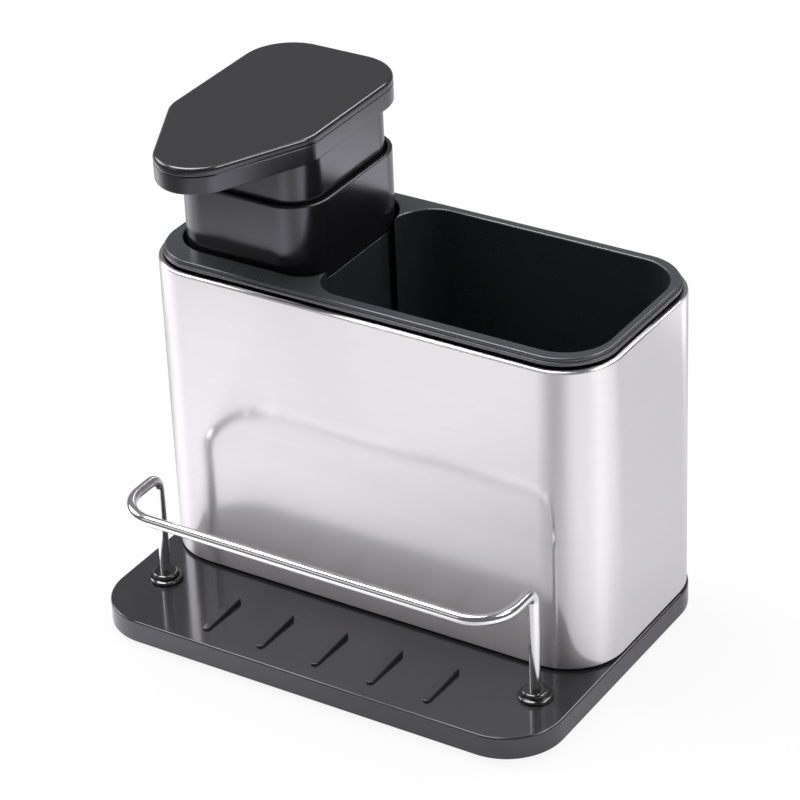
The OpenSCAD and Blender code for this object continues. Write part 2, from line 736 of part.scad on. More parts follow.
module pump_piston() {
  groove = bore_r - stem_r - small_wall;
  color("#b8b8c0") at_pump(piston_z) difference() {
    cylinder(h = piston_h, r = bore_r - fit);
    translate([0, 0, piston_h / 3]) ring(bore_r + cut, bore_r - groove, piston_h / 3);
    translate([0, 0, -cut]) cylinder(h = piston_h + 2 * cut, r = stem_r);
  }
}

module outlet_ball() {
  rise = sqrt(outlet_r * outlet_r - stem_bore * stem_bore / 4);
  color("#c0c0c4") at_pump(outlet_seat_z + rise + fit) sphere(outlet_r);
}

module head_shell() {
  boss_h = spout_z + spout_d / 2 + fit - head_z;
  bore_h = spout_z + spout_bore / 2 - head_z + cut;
  color("#2c2c2f") at_pump(0) difference() {
    union() {
      translate([0, 0, head_z]) difference() {
        head_plate(0, cap_h);
        translate([0, 0, cap_floor]) head_plate(cap_wall, cap_h);
      }
      translate([0, 0, skirt_z]) difference() {
        slab(skirt_w, skirt_d, skirt_r, head_z - skirt_z + cap_floor / 2);
        translate([0, 0, -cut]) slab(skirt_w - 2 * skirt_t, skirt_d - 2 * skirt_t, skirt_r - skirt_t,
          head_z - skirt_z + cut);
      }
      translate([0, 0, head_z - socket_h]) cylinder(h = socket_h + boss_h, r = socket_d / 2);
      translate([0, nozzle_y, head_z]) cylinder(h = boss_h, r = nozzle_boss_r);
    }
    translate([0, 0, head_z - socket_h - cut]) cylinder(h = socket_h + cut, r = stem_r);
    translate([0, 0, head_z - cut]) cylinder(h = bore_h, r = outlet_bore_r);
    translate([0, nozzle_y, head_z - cut]) cylinder(h = bore_h, r = nozzle_d / 2);
    translate([0, 0, spout_z]) rotate([90, 0, 0]) cylinder(h = -nozzle_y, r = spout_d / 2);
  }
}

module head_cover() {
  lip = cap_wall + plug_clear;
  color("#2c2c2f") at_pump(cover_z) {
    head_plate(0, cover_h - cover_bevel);
    hull() for (c = head_corners) translate([c[0], c[1], cover_h - cover_bevel])
      cylinder(h = cover_bevel, r1 = c[2], r2 = c[2] - cover_bevel);
    translate([0, 0, -lip_h]) difference() {
      head_plate(lip, lip_h);
      translate([0, 0, -cut]) head_plate(lip + small_wall, cut + lip_h);
    }
  }
}

module spout_tube() {
  tube_start = outlet_bore_r;
  tube_end = -nozzle_y - nozzle_d / 2;
  color("#e4e4e0") at_pump(spout_z) translate([0, -tube_start, 0]) rotate([90, 0, 0])
    ring(spout_d / 2, spout_bore / 2, tube_end - tube_start);
}

module spout_nozzle() {
  color("#2c2c2f") at_pump(head_z) translate([0, nozzle_y, 0]) difference() {
    union() {
      translate([0, 0, -nozzle_proud]) cylinder(h = nozzle_proud + cap_floor, r = nozzle_d / 2);
      translate([0, 0, -nozzle_proud / 2]) cylinder(h = nozzle_proud / 2, r = nozzle_boss_r);
    }
    translate([0, 0, -nozzle_proud - cut])
      cylinder(h = nozzle_proud + cap_floor + 2 * cut, r = spout_bore / 2);
  }
}

base_tray();
tray_feet();
steel_sleeve();
base_screws();
sleeve_bushes();
sponge_rail();
rail_ferrules();
rail_nuts();
inner_liner();
soap_bottle();
pump_collar();
mouth_gasket();
pump_cylinder();
cylinder_nut();
stem_guide();
inlet_ball();
pump_spring();
dip_tube();
pump_stem();
pump_piston();
outlet_ball();
head_shell();
head_cover();
spout_tube();
spout_nozzle();
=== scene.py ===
import bmesh
import bpy
import json
import math
from mathutils import Matrix, Vector


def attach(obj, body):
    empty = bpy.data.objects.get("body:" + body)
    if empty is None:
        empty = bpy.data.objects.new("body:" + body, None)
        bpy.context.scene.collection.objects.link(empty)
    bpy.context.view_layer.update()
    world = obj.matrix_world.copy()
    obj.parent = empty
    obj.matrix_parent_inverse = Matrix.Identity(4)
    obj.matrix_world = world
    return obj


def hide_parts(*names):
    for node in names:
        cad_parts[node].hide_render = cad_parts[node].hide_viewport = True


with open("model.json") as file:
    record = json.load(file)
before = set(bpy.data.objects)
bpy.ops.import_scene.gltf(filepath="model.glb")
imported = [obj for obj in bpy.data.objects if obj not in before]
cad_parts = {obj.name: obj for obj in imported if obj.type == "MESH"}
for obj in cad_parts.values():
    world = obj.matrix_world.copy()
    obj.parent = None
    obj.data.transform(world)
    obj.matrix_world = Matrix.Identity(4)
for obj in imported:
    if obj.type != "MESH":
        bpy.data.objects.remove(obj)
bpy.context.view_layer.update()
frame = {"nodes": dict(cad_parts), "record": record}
cad = frame["nodes"]
print("frame in:", len(cad), "nodes")


# shader helpers
class Wire:  # a node socket that does sums
    def __init__(self, nodes, socket):
        self.nodes = nodes
        self.socket = socket

    def maths(self, operation, a, b):
        return self.nodes.add("ShaderNodeMath", {0: a, 1: b}, operation=operation)

    def __add__(self, other):
        return self.maths("ADD", self, other)

    def __radd__(self, other):
        return self.maths("ADD", other, self)

    def __sub__(self, other):
        return self.maths("SUBTRACT", self, other)

    def __rsub__(self, other):
        return self.maths("SUBTRACT", other, self)

    def __mul__(self, other):
        return self.maths("MULTIPLY", self, other)

    def __truediv__(self, other):
        return self.maths("DIVIDE", self, other)


class NodeSet:  # the nodes of one material or world
    def __init__(self, owner):
        owner.use_nodes = True
        self.tree = owner.node_tree
        self.tree.nodes.clear()

    def add(self, kind, values=None, out=0, **settings):
        node = self.tree.nodes.new(kind)
        for name, value in settings.items():
            setattr(node, name, value)
        for name, value in (values or {}).items():
            target = node.inputs[name]
            if isinstance(value, Wire):
                self.tree.links.new(value.socket, target)
            else:
                target.default_value = value
        return Wire(self, node.outputs[out]) if len(node.outputs) else node

    def tint(self, factor, dark, light):  # 6, 7 and 2 are the mix node's colour sockets
        return self.add("ShaderNodeMix", {0: factor, 6: dark, 7: light}, 2, data_type="RGBA")

    def place(self, stretch=(1, 1, 1)):
        base = self.add("ShaderNodeTexCoord", out="Object")
        return self.add("ShaderNodeMapping", {"Vector": base, "Scale": stretch})

    def noise(self, where, scale, detail, rough=0.5):
        values = {"Vector": where, "Scale": scale, "Detail": detail, "Roughness": rough}
        return self.add("ShaderNodeTexNoise", values)

    def bump(self, height, strength, distance):
        return self.add("ShaderNodeBump", {"Height": height, "Strength": strength, "Distance": distance})

    def ray(self, kind):
        return self.add("ShaderNodeLightPath", out=f"Is {kind} Ray")

    def glow(self, colour):
        return self.add("ShaderNodeEmission", {"Color": colour, "Strength": 1.0})

    def blend(self, factor, first, second):
        return self.add("ShaderNodeMixShader", {0: factor, 1: first, 2: second})

    def fade(self, value, start, stop):  # 0 before start, 1 past stop
        values = {"Value": value, "From Min": start, "From Max": stop}
        return self.add("ShaderNodeMapRange", values, interpolation_type="SMOOTHSTEP")

    def finish(self, shader, kind="Material"):
        self.add("ShaderNodeOutput" + kind, {"Surface": shader})


def shade(level, tint=(1, 1, 1)):
    return tuple(level * t for t in tint) + (1.0,)


# finishes: a noise is its scale, detail and roughness, a bump its strength and distance
plasticLook = {
    "colour": 0.015, "tint": (0.98, 0.96, 1.10), "cloud": 0.10, "rough": 0.22, "roughSpread": 0.05,
    "index": 1.9, "mirrorTint": (0.92, 0.905, 1.0), "peel": (0.02, 0.0002),
    "cloudNoise": (35, 3), "peelNoise": (900, 2), "filmNoise": (60, 4, 0.6),
}


def glossPlastic(name, **changes):  # moulded charcoal plastic
    look = {**plasticLook, **changes}
    material = bpy.data.materials.new(name)
    n = NodeSet(material)
    where = n.place()
    cloud = n.noise(where, *look["cloudNoise"])
    peel = n.noise(where, *look["peelNoise"])
    film = n.noise(where, *look["filmNoise"])
    dark = shade(look["colour"] * (1 - look["cloud"]), look["tint"])
    light = shade(look["colour"] * (1 + look["cloud"]), look["tint"])
    body = n.add("ShaderNodeBsdfPrincipled", {
        "Base Color": n.tint(cloud, dark, light),
        "Roughness": look["rough"] + (film - 0.5) * look["roughSpread"],
        "IOR": look["index"],
        "Specular Tint": shade(1.0, look["mirrorTint"]),
        "Normal": n.bump(peel, *look["peel"]),
    })
    n.finish(body)
    return material


sheetLook = {  # a keen and a broad shine, each a roughness and its pull across the brushed lines
    "colour": (0.90, 0.875, 0.895), "cloud": 0.06, "keen": (0.115, 0.7), "broad": (0.38, 1.0),
    "broadShare": 0.66, "roughSpread": 0.05, "pullTurn": 0.25, "relief": (0.08, 0.0001),
    "stretch": (2, 2, 220), "fineNoise": (14, 4, 0.65), "fineShare": 0.7,
    "wideNoise": (3, 3), "wideShare": 0.3,
}


def brushedSteel(name, look):  # fine lines round the sleeve
    material = bpy.data.materials.new(name)
    n = NodeSet(material)
    where = n.place(look["stretch"])
    fine = n.noise(where, *look["fineNoise"])
    wide = n.noise(where, *look["wideNoise"])
    grain = fine * look["fineShare"] + wide * look["wideShare"]
    dark, light = shade(1 - look["cloud"], look["colour"]), shade(1 + look["cloud"], look["colour"])
    colour = n.tint(grain, dark, light)
    relief = n.bump(grain, *look["relief"])
    shines = [n.add("ShaderNodeBsdfPrincipled", {
        "Base Color": colour,
        "Metallic": 1.0,
        "Roughness": rough + (grain - 0.5) * look["roughSpread"],
        "Anisotropic": pull,
        "Anisotropic Rotation": look["pullTurn"],
        "Normal": relief,
    }) for rough, pull in (look["keen"], look["broad"])]
    n.finish(n.blend(look["broadShare"], *shines))
    return material


wireLook = {
    "noise": (90, 3), "shades": (0.84, 0.92), "rough": 0.12, "roughSpread": 0.05, "fixed": {"Metallic": 1.0},
}
rubberLook = {
    "noise": (1400, 3), "shades": (0.014, 0.024), "rough": 0.6, "roughSpread": 0.2, "bump": (0.2, 0.0002),
}
pumpLook = {
    "noise": (80, 3), "shades": (0.62, 0.72), "tint": (1, 1, 0.97), "rough": 0.38, "roughSpread": 0.12,
    "fixed": {"Subsurface Weight": 0.1, "Subsurface Scale": 0.002},
}
screwLook = {
    "noise": (500, 3), "stretch": (1, 1, 6), "shades": (0.52, 0.62), "rough": 0.28, "roughSpread": 0.14,
    "bump": (0.08, 0.0001), "fixed": {"Metallic": 1.0},
}


def plainFinish(name, look):  # one noise moves the colour, the roughness and the bump
    material = bpy.data.materials.new(name)
    n = NodeSet(material)
    grain = n.noise(n.place(look.get("stretch", (1, 1, 1))), *look["noise"])
    dark, light = (shade(level, look.get("tint", (1, 1, 1))) for level in look["shades"])
    values = {
        "Base Color": n.tint(grain, dark, light),
        "Roughness": look["rough"] + grain * look["roughSpread"],
        **look.get("fixed", {}),
    }
    if "bump" in look:
        values["Normal"] = n.bump(grain, *look["bump"])
    n.finish(n.add("ShaderNodeBsdfPrincipled", values))
    return material


trayFinish = glossPlastic("trayFinish", colour=0.034, tint=(0.97, 0.97, 1.08), rough=0.11, index=1.8)
blackFinish = glossPlastic("blackFinish")
linerFinish = glossPlastic("linerFinish", colour=0.045, tint=(0.90, 0.97, 1.12), rough=0.27)
bottleFinish = glossPlastic("bottleFinish", colour=0.05, tint=(0.88, 0.96, 1.15))
sheetFinish = brushedSteel("sheetFinish", sheetLook)
wireFinish = plainFinish("wireFinish", wireLook)
ferruleFinish = plainFinish("ferruleFinish", {**wireLook, "shades": (0.10, 0.16)})
rubberFinish = plainFinish("rubberFinish", rubberLook)
pumpFinish = plainFinish("pumpFinish", pumpLook)
screwFinish = plainFinish("screwFinish", screwLook)

finishOfSlot = {
    "tray_plastic": trayFinish, "black_plastic": blackFinish, "brushed_sheet": sheetFinish,
    "chrome_wire": wireFinish, "plain_steel": screwFinish, "soft_rubber": rubberFinish,
    "pump_plastic": pumpFinish,
}
for part in frame["record"]["subparts"]:
    finish = finishOfSlot[part["material_slot"]]
    for slot in cad[part["node"]].material_slots:
        slot.material = finish
print("finishes on")


# modelling helpers, sizes in millimetres
mm = 0.001
bite = 0.5  # a joined piece reaches this far into the other
over = 1  # a cutter reaches this far past a face
sides = [-1, 1]
corners = [(side, end) for side in sides for end in sides]
shaping = {  # roundSteps per quarter, facet and smooth in degrees, the last five in metres
    "roundSteps": 4, "facet": 5.0, "leastFacets": 3, "bevelShare": 0.9999, "rodSides": 48, "fineSides": 64,
    "smooth": 32, "weld": 2e-6, "arcWeld": 2e-5, "level": 1e-6, "start": 1e-4, "goal": 1e-7,
}


def alone(piece):
    if bpy.context.mode != "OBJECT":
        bpy.ops.object.mode_set(mode="OBJECT")
    bpy.ops.object.select_all(action="DESELECT")
    if piece:
        piece.select_set(True)
        bpy.context.view_layer.objects.active = piece


def started(name):  # the new primitive gets its name and goes into edit mode
    piece = bpy.context.active_object
    piece.name = piece.data.name = name
    bpy.ops.object.transform_apply(location=True, rotation=True, scale=True)
    bpy.ops.object.mode_set(mode="EDIT")
    return piece


def disc(name, x, y, z, radius, count):
    alone(None)
    place = (x * mm, y * mm, z * mm)
    bpy.ops.mesh.primitive_circle_add(vertices=count, radius=radius * mm, fill_type="NGON", location=place)
    return started(name)


def push(x, y, z):  # the selected face goes this way
    bpy.ops.mesh.extrude_region_move(TRANSFORM_OT_translate={"value": (x * mm, y * mm, z * mm)})


def outward():
    bpy.ops.mesh.select_all(action="SELECT")
    bpy.ops.mesh.normals_make_consistent(inside=False)


def pick(piece, kind, rule):  # selects corners or faces by their place
    bpy.ops.mesh.select_mode(type=kind)
    bpy.ops.mesh.select_all(action="DESELECT")
    shape = bmesh.from_edit_mesh(piece.data)
    for item in {"VERT": shape.verts, "FACE": shape.faces}[kind]:
        if rule(item):
            item.select_set(True)
    bmesh.update_edit_mesh(piece.data)


def lying(height):
    return lambda face: all(abs(vert.co.z - height * mm) < shaping["level"] for vert in face.verts)


def near(spot, reach):
    return lambda vert: (vert.co - spot).length < reach


def fourArcs(x0, x1, y0, y1, radii):  # an arc is its centre, its radius and the angles it runs between
    a, b, c, d = radii
    return [(x0 + a, y0 + a, a, 180, 270), (x1 - b, y0 + b, b, 270, 360),
            (x1 - c, y1 - c, c, 0, 90), (x0 + d, y1 - d, d, 90, 180)]


def plateArcs(x, y, width, depth, radius):
    return fourArcs(x - width / 2, x + width / 2, y - depth / 2, y + depth / 2, [radius] * 4)


def quarterRound(radius, hollow=False):  # the end face that is selected gets a round or flared edge
    steps = shaping["roundSteps"]
    for step in range(steps):
        a, b = (math.pi / 2 * k / steps for k in (step, step + 1))
        inward, onward = math.cos(a) - math.cos(b), math.sin(b) - math.sin(a)
        if hollow:
            inward, onward = onward, inward
        bpy.ops.mesh.inset(thickness=radius * mm * inward, depth=radius * mm * onward)


def plate(name, arcs, low, high, roundLow=0.0, roundHigh=0.0, shrink=0.0, facet=shaping["facet"]):
    # a plate with arc corners, from one height to another, its ends rounded
    alone(None)
    bpy.ops.mesh.primitive_circle_add(vertices=len(arcs), radius=1, fill_type="NGON")
    piece = started(name)
    lowZ = (low + roundLow) * mm
    rise = (high - roundHigh) * mm - lowZ
    bends = []
    for x, y, r, start, stop in arcs:
        half, middle = math.radians(stop - start) / 2, math.radians(start + stop) / 2
        reach = (r - shrink) / math.cos(half)
        goalX, goalY = x + reach * math.cos(middle), y + reach * math.sin(middle)
        goal = Vector((goalX * mm, goalY * mm, lowZ))
        count = max(shaping["leastFacets"], round((stop - start) / facet))
        bends.append((goal, (r - shrink) * math.tan(half) * mm, count))
    shape = bmesh.from_edit_mesh(piece.data)
    starts = [vert.co.copy() for vert in shape.verts]
    turned = sorted(starts, key=lambda co: math.atan2(co.y, co.x))
    for spot, (goal, cut, count) in zip(turned, bends):
        pick(piece, "VERT", near(spot, shaping["start"]))
        bpy.ops.transform.translate(value=goal - spot)
    for goal, cut, count in bends:
        pick(piece, "VERT", near(goal, shaping["goal"]))
        bpy.ops.mesh.bevel(offset=cut * shaping["bevelShare"], segments=count, affect="VERTICES")
    bpy.ops.mesh.select_mode(type="FACE")
    bpy.ops.mesh.select_all(action="SELECT")
    bpy.ops.mesh.remove_doubles(threshold=shaping["arcWeld"])  # where two arcs meet
    bpy.ops.mesh.extrude_region_move(TRANSFORM_OT_translate={"value": (0, 0, rise)})
    outward()
    for height, radius in ((low + roundLow, roundLow), (high - roundHigh, roundHigh)):
        if radius:
            pick(piece, "FACE", lying(height))
            quarterRound(radius)
    bpy.ops.object.mode_set(mode="OBJECT")
    return piece


def cutter(name, arcs, low, rim, flare, shrink=0.0):  # a pocket whose mouth at the rim is flared
    mouthArcs = [(x, y, r + flare, start, stop) for x, y, r, start, stop in arcs]
    piece = plate(name, mouthArcs, rim, rim + 2 * over, shrink=shrink)
    alone(piece)
    bpy.ops.object.mode_set(mode="EDIT")
    pick(piece, "FACE", lying(rim))
    quarterRound(flare, hollow=True)
    push(0, 0, low - rim + flare)
    bpy.ops.object.mode_set(mode="OBJECT")
    return piece


def lathe(name, x, y, rings, count=shaping["rodSides"]):  # a round piece from rings of radius and height
    piece = disc(name, x, y, rings[0][1], rings[0][0], count)
    pick(piece, "FACE", lambda face: True)
    for (r0, z0), (r1, z1) in zip(rings, rings[1:]):
        push(0, 0, z1 - z0)
        bpy.ops.transform.resize(value=(r1 / r0, r1 / r0, 1), center_override=(x * mm, y * mm, z1 * mm))
    outward()
    bpy.ops.object.mode_set(mode="OBJECT")
    return piece


def rod(name, x, y, radius, low, high, count=shaping["rodSides"]):
    return lathe(name, x, y, [(radius, low), (radius, high)], count)


def combine(piece, tool, operation="DIFFERENCE"):
    alone(piece)
    change = piece.modifiers.new("combine", "BOOLEAN")
    change.operation = operation
    change.solver = "EXACT"
    change.object = tool
    bpy.ops.object.modifier_apply(modifier=change.name)
    bpy.data.objects.remove(tool)


def dress(piece, material, body, slot, *nodes, smooth=shaping["smooth"]):
    alone(piece)
    bpy.ops.object.mode_set(mode="EDIT")
    bpy.ops.mesh.select_all(action="SELECT")
    bpy.ops.mesh.remove_doubles(threshold=shaping["weld"])
    bpy.ops.mesh.select_all(action="DESELECT")
    bpy.ops.object.mode_set(mode="OBJECT")
    bpy.ops.object.shade_smooth_by_angle(angle=math.radians(smooth))
    change = piece.modifiers.new("evenNormals", "WEIGHTED_NORMAL")
    change.keep_sharp = True
    bpy.ops.object.modifier_apply(modifier=change.name)
    piece.data.materials.clear()
    piece.data.materials.append(material)
    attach(piece, body)
    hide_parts(*nodes)
    alone(None)


# drip tray and steel sleeve, a hole is its radius, low and high end
tray = {
    "width": 195.0, "depth": 137.6, "corner": 23.0, "low": 1.0, "high": 10.2, "edge": 0.8, "foot": 0.4,
    "wall": 3.0, "underDeck": 7.6,
    "plinthInset": 1.3, "plinthLow": 9, "plinthTop": 11.2, "plinthEdge": 0.2,
    "ribs": 5, "pitch": 24.2, "ribWidth": 3.3, "ribFront": -60.9, "ribLength": 23.2, "ribLow": 9,
    "ribRise": (0.9, 2.0), "ribEdge": 0.5, "ribRound": 0.98, "ribFacet": 15,
    "bossX": 82.985, "bossY": 54.285, "boss": 9.6, "padHole": (8.06, -1, 2),
    "webs": (-32.5, 32.5), "web": 1.8, "webCorner": 0.3, "webLow": 3,
    "postX": 81.8, "postY": -38.2, "postHole": (2.3, 5, 12),
    "screwX": 68.585, "screwY": (-6.8, 53.3), "screwHole": (2.1, 5, 13),
}
sleeve = {
    "y": 23.25, "width": 194.0, "depth": 90.1, "corner": 22.9, "low": 11.2, "high": 136.6,
    "sheet": 0.8, "hem": 2.3, "hemHeight": 2.2, "edge": 1.0, "innerEdge": 0.8, "foot": 0.5,
    "screwHole": (2.1, 10, 13),
}
trayArcs = plateArcs(0, 0, tray["width"], tray["depth"], tray["corner"])
sleeveArcs = plateArcs(0, sleeve["y"], sleeve["width"], sleeve["depth"], sleeve["corner"])
dripTray = plate("dripTray", trayArcs, tray["low"], tray["high"], tray["foot"], tray["edge"])
combine(dripTray, plate("hollow", trayArcs, -over, tray["underDeck"], shrink=tray["wall"]))
plinth = plate("plinth", sleeveArcs, tray["plinthLow"], tray["plinthTop"], 0, tray["plinthEdge"],
               shrink=tray["plinthInset"])
combine(dripTray, plinth, "UNION")
for side, end in corners:
    boss = rod("boss", side * tray["bossX"], end * tray["bossY"], tray["boss"],
               tray["low"], tray["underDeck"] + bite)
    combine(dripTray, boss, "UNION")
for x in tray["webs"]:
    webArcs = plateArcs(x, 0, tray["web"], tray["depth"] - tray["wall"], tray["webCorner"])
    combine(dripTray, plate("web", webArcs, tray["webLow"], tray["underDeck"] + bite), "UNION")
middle = tray["ribFront"] + tray["ribLength"] / 2
lowRise, highRise = tray["ribRise"]
ribTop = tray["high"] + (lowRise + highRise) / 2
lean = math.atan((highRise - lowRise) / tray["ribLength"])
for number in range(tray["ribs"]):
    x = (number - (tray["ribs"] - 1) / 2) * tray["pitch"]
    ribArcs = plateArcs(x, middle, tray["ribWidth"], tray["ribLength"],
                        tray["ribWidth"] / 2 * tray["ribRound"])
    rib = plate("rib", ribArcs, tray["ribLow"], ribTop, 0, tray["ribEdge"], facet=tray["ribFacet"])
    alone(rib)
    bpy.ops.object.mode_set(mode="EDIT")
    pick(rib, "VERT", lambda vert: vert.co.z > tray["high"] * mm)  # the top leans up to the back
    pivot = (x * mm, middle * mm, tray["high"] * mm)
    bpy.ops.transform.rotate(value=-lean, orient_axis="X", center_override=pivot)
    combine(dripTray, rib, "UNION")
for side, end in corners:
    combine(dripTray, rod("padHole", side * tray["bossX"], end * tray["bossY"], *tray["padHole"]))
for side in sides:
    combine(dripTray, rod("postHole", side * tray["postX"], tray["postY"], *tray["postHole"]))
    for y in tray["screwY"]:
        combine(dripTray, rod("screwHole", side * tray["screwX"], y, *tray["screwHole"]))
dress(dripTray, trayFinish, "base", "tray_plastic", "base_tray")
print("tray made")

steelSleeve = plate("steelSleeve", sleeveArcs, sleeve["low"], sleeve["high"], sleeve["foot"], sleeve["edge"])
inside = plate("inside", sleeveArcs, sleeve["low"] + sleeve["sheet"], sleeve["high"] - sleeve["hemHeight"],
               shrink=sleeve["sheet"])
combine(steelSleeve, inside)
mouth = cutter("mouth", sleeveArcs, sleeve["low"] + 2 * sleeve["sheet"], sleeve["high"], sleeve["innerEdge"],
               shrink=sleeve["hem"])
combine(steelSleeve, mouth)
for side in sides:
    for y in tray["screwY"]:
        combine(steelSleeve, rod("screwHole", side * tray["screwX"], y, *sleeve["screwHole"]))
dress(steelSleeve, sheetFinish, "base", "brushed_sheet", "steel_sleeve")
print("sleeve made")

# sponge rail
rail = {
    "wire": 2.1, "x": tray["postX"], "y": tray["postY"], "low": 3.2, "height": 56.0, "reach": 27.3,
    "topBend": 5.0, "frontBend": 15.0, "sides": 24, "bendSteps": 10,
}


def bend(x, y, z, axis, quarter):
    turn = -quarter * math.pi / 2  # spin turns backwards with no window
    bpy.ops.mesh.spin(steps=rail["bendSteps"], angle=turn, center=(x * mm, y * mm, z * mm), axis=axis)


spongeRail = disc("spongeRail", -rail["x"], rail["y"], rail["low"], rail["wire"], rail["sides"])
pick(spongeRail, "FACE", lambda face: True)
shoulder = rail["y"] - rail["topBend"]
arm = rail["reach"] - rail["topBend"] - rail["frontBend"]
bendZ = rail["height"] - rail["topBend"]
turnX = rail["x"] - rail["frontBend"]
push(0, 0, bendZ - rail["low"])
bend(-rail["x"], shoulder, bendZ, (1, 0, 0), 1)
push(0, -arm, 0)
bend(-turnX, shoulder - arm, rail["height"], (0, 0, 1), 1)
push(2 * turnX, 0, 0)
bend(turnX, shoulder - arm, rail["height"], (0, 0, 1), 1)
push(0, arm, 0)
bend(rail["x"], shoulder, bendZ, (1, 0, 0), -1)
push(0, 0, rail["low"] - bendZ)
bpy.ops.mesh.select_all(action="SELECT")
bpy.ops.mesh.remove_doubles(threshold=shaping["weld"])
outward()
dress(spongeRail, wireFinish, "base", "chrome_wire", "sponge_rail")

# the rail's ferrules, rings of radius and height
ferrule = {
    "rings": [(6.3, 10.2), (6.55, 10.35), (6.65, 10.65), (6.62, 11.0), (6.42, 11.35), (6.05, 11.6),
              (5.55, 11.72), (5.2, 11.85), (5.2, 12.6), (5.12, 13.05), (4.85, 13.4), (4.45, 13.62),
              (3.9, 13.7), (3.0, 13.7)],
    "bore": (2.16, 9, 15), "smooth": 40,
}
pair = []
for side in sides:
    flange = lathe("flange", side * rail["x"], rail["y"], ferrule["rings"])
    combine(flange, rod("bore", side * rail["x"], rail["y"], *ferrule["bore"]))
    pair.append(flange)
railFerrules = pair[0]
alone(railFerrules)
pair[1].select_set(True)
bpy.ops.object.join()
railFerrules.name = railFerrules.data.name = "railFerrules"
dress(railFerrules, ferruleFinish, "base", "chrome_wire", "rail_ferrules", smooth=ferrule["smooth"])
print("rail made")

# liner: bay and brush room are their left, right, front and back
liner = {
    "floor": 18.0, "low": 16.0, "wall": 1.8, "cupEdge": 1.2, "rimLow": 137.8, "step": 139.2, "stepEdge": 0.3,
    "topLow": 138.5, "high": 140.6, "inset": 2.0, "stepIn": 0.7, "edge": 0.7, "innerEdge": 0.7,
    "bay": (-90.9, -24.8, -9.5, 63.8), "bayCorners": (16.7, 11, 20, 16.7),
    "brush": (-25.0, 91.0, -14.1, 61.7), "brushCorners": (13, 18, 18, 16),
    "legX": 50.0, "leg": 3.6, "legLow": 12.0, "legTop": 17.0,
}
bayArcs = fourArcs(*liner["bay"], liner["bayCorners"])
brushArcs = fourArcs(*liner["brush"], liner["brushCorners"])
innerLiner = plate("innerLiner", sleeveArcs, liner["rimLow"], liner["step"],
                   liner["stepEdge"], liner["stepEdge"], shrink=liner["inset"])
rimTop = plate("rimTop", sleeveArcs, liner["topLow"], liner["high"], 0, liner["edge"],
               shrink=liner["inset"] + liner["stepIn"])
combine(innerLiner, rimTop, "UNION")
for arcs in (bayArcs, brushArcs):
    cup = plate("cup", arcs, liner["low"], liner["rimLow"] + bite, liner["cupEdge"], 0, shrink=-liner["wall"])
    combine(innerLiner, cup, "UNION")
bayFront, brushBack = liner["bay"][2], liner["brush"][3]
for side in sides:
    for y in (bayFront + liner["leg"], brushBack - liner["leg"]):
        leg = rod("leg", side * liner["legX"], y, liner["leg"], liner["legLow"], liner["legTop"])
        combine(innerLiner, leg, "UNION")
for arcs in (bayArcs, brushArcs):
    combine(innerLiner, cutter("room", arcs, liner["floor"], liner["high"], liner["innerEdge"]))
dress(innerLiner, linerFinish, "liner", "black_plastic", "inner_liner")
print("liner made")

# bottle, on the pump's axis like all that follows
pumpX, pumpY = -59.05, 27.7
bottle = {
    "width": 62.3, "depth": 70.6, "corner": 16.0, "low": 18.2, "high": 134.4, "wall": 2.0, "edge": 0.8,
    "topEdge": 0.3, "roomEdge": 0.8, "mouth": 21.0,
}
bottleArcs = plateArcs(pumpX, pumpY, bottle["width"], bottle["depth"], bottle["corner"])
soapBottle = plate("soapBottle", bottleArcs, bottle["low"], bottle["high"], bottle["edge"], bottle["topEdge"])
room = plate("room", bottleArcs, bottle["low"] + bottle["wall"], bottle["high"] - bottle["wall"],
             bottle["roomEdge"], bottle["roomEdge"], shrink=bottle["wall"])
combine(soapBottle, room)
mouth = rod("mouth", pumpX, pumpY, bottle["mouth"],
            bottle["high"] - bottle["wall"] - over, bottle["high"] + over, shaping["fineSides"])
combine(soapBottle, mouth)
dress(soapBottle, bottleFinish, "bottle", "black_plastic", "soap_bottle")

# pump collar: plug and groove are an outer and an inner radius
collar = {
    "low": 134.6, "high": 166.1, "foot": 0.2, "wall": 1.9, "floor": 136.8, "edge": 0.6, "innerEdge": 0.6,
    "bore": 8.8, "plug": (20.7, 18.9), "plugLow": 127.4, "groove": (25.36, 21.24), "grooveDeep": 1.0,
}
plugOuter, plugInner = collar["plug"]
grooveOuter, grooveInner = collar["groove"]
pumpCollar = plate("pumpCollar", bottleArcs, collar["low"], collar["high"], collar["foot"], collar["edge"])
room = cutter("room", bottleArcs, collar["floor"], collar["high"], collar["innerEdge"], shrink=collar["wall"])
combine(pumpCollar, room)
groove = rod("groove", pumpX, pumpY, grooveOuter, collar["low"] - over, collar["low"] + collar["grooveDeep"],
             shaping["fineSides"])
island = rod("island", pumpX, pumpY, grooveInner, collar["low"] - 2 * over, collar["low"] + 2 * over,
             shaping["fineSides"])
combine(groove, island)
combine(pumpCollar, groove)
plug = rod("plug", pumpX, pumpY, plugOuter, collar["plugLow"], collar["low"] + bite, shaping["fineSides"])
combine(pumpCollar, plug, "UNION")
plugRoom = rod("plugRoom", pumpX, pumpY, plugInner, collar["plugLow"] - over, collar["low"],
               shaping["fineSides"])
combine(pumpCollar, plugRoom)
combine(pumpCollar, rod("bore", pumpX, pumpY, collar["bore"], collar["low"] - over, collar["floor"] + over))
dress(pumpCollar, blackFinish, "pump", "black_plastic", "pump_collar")
print("bottle and collar made")

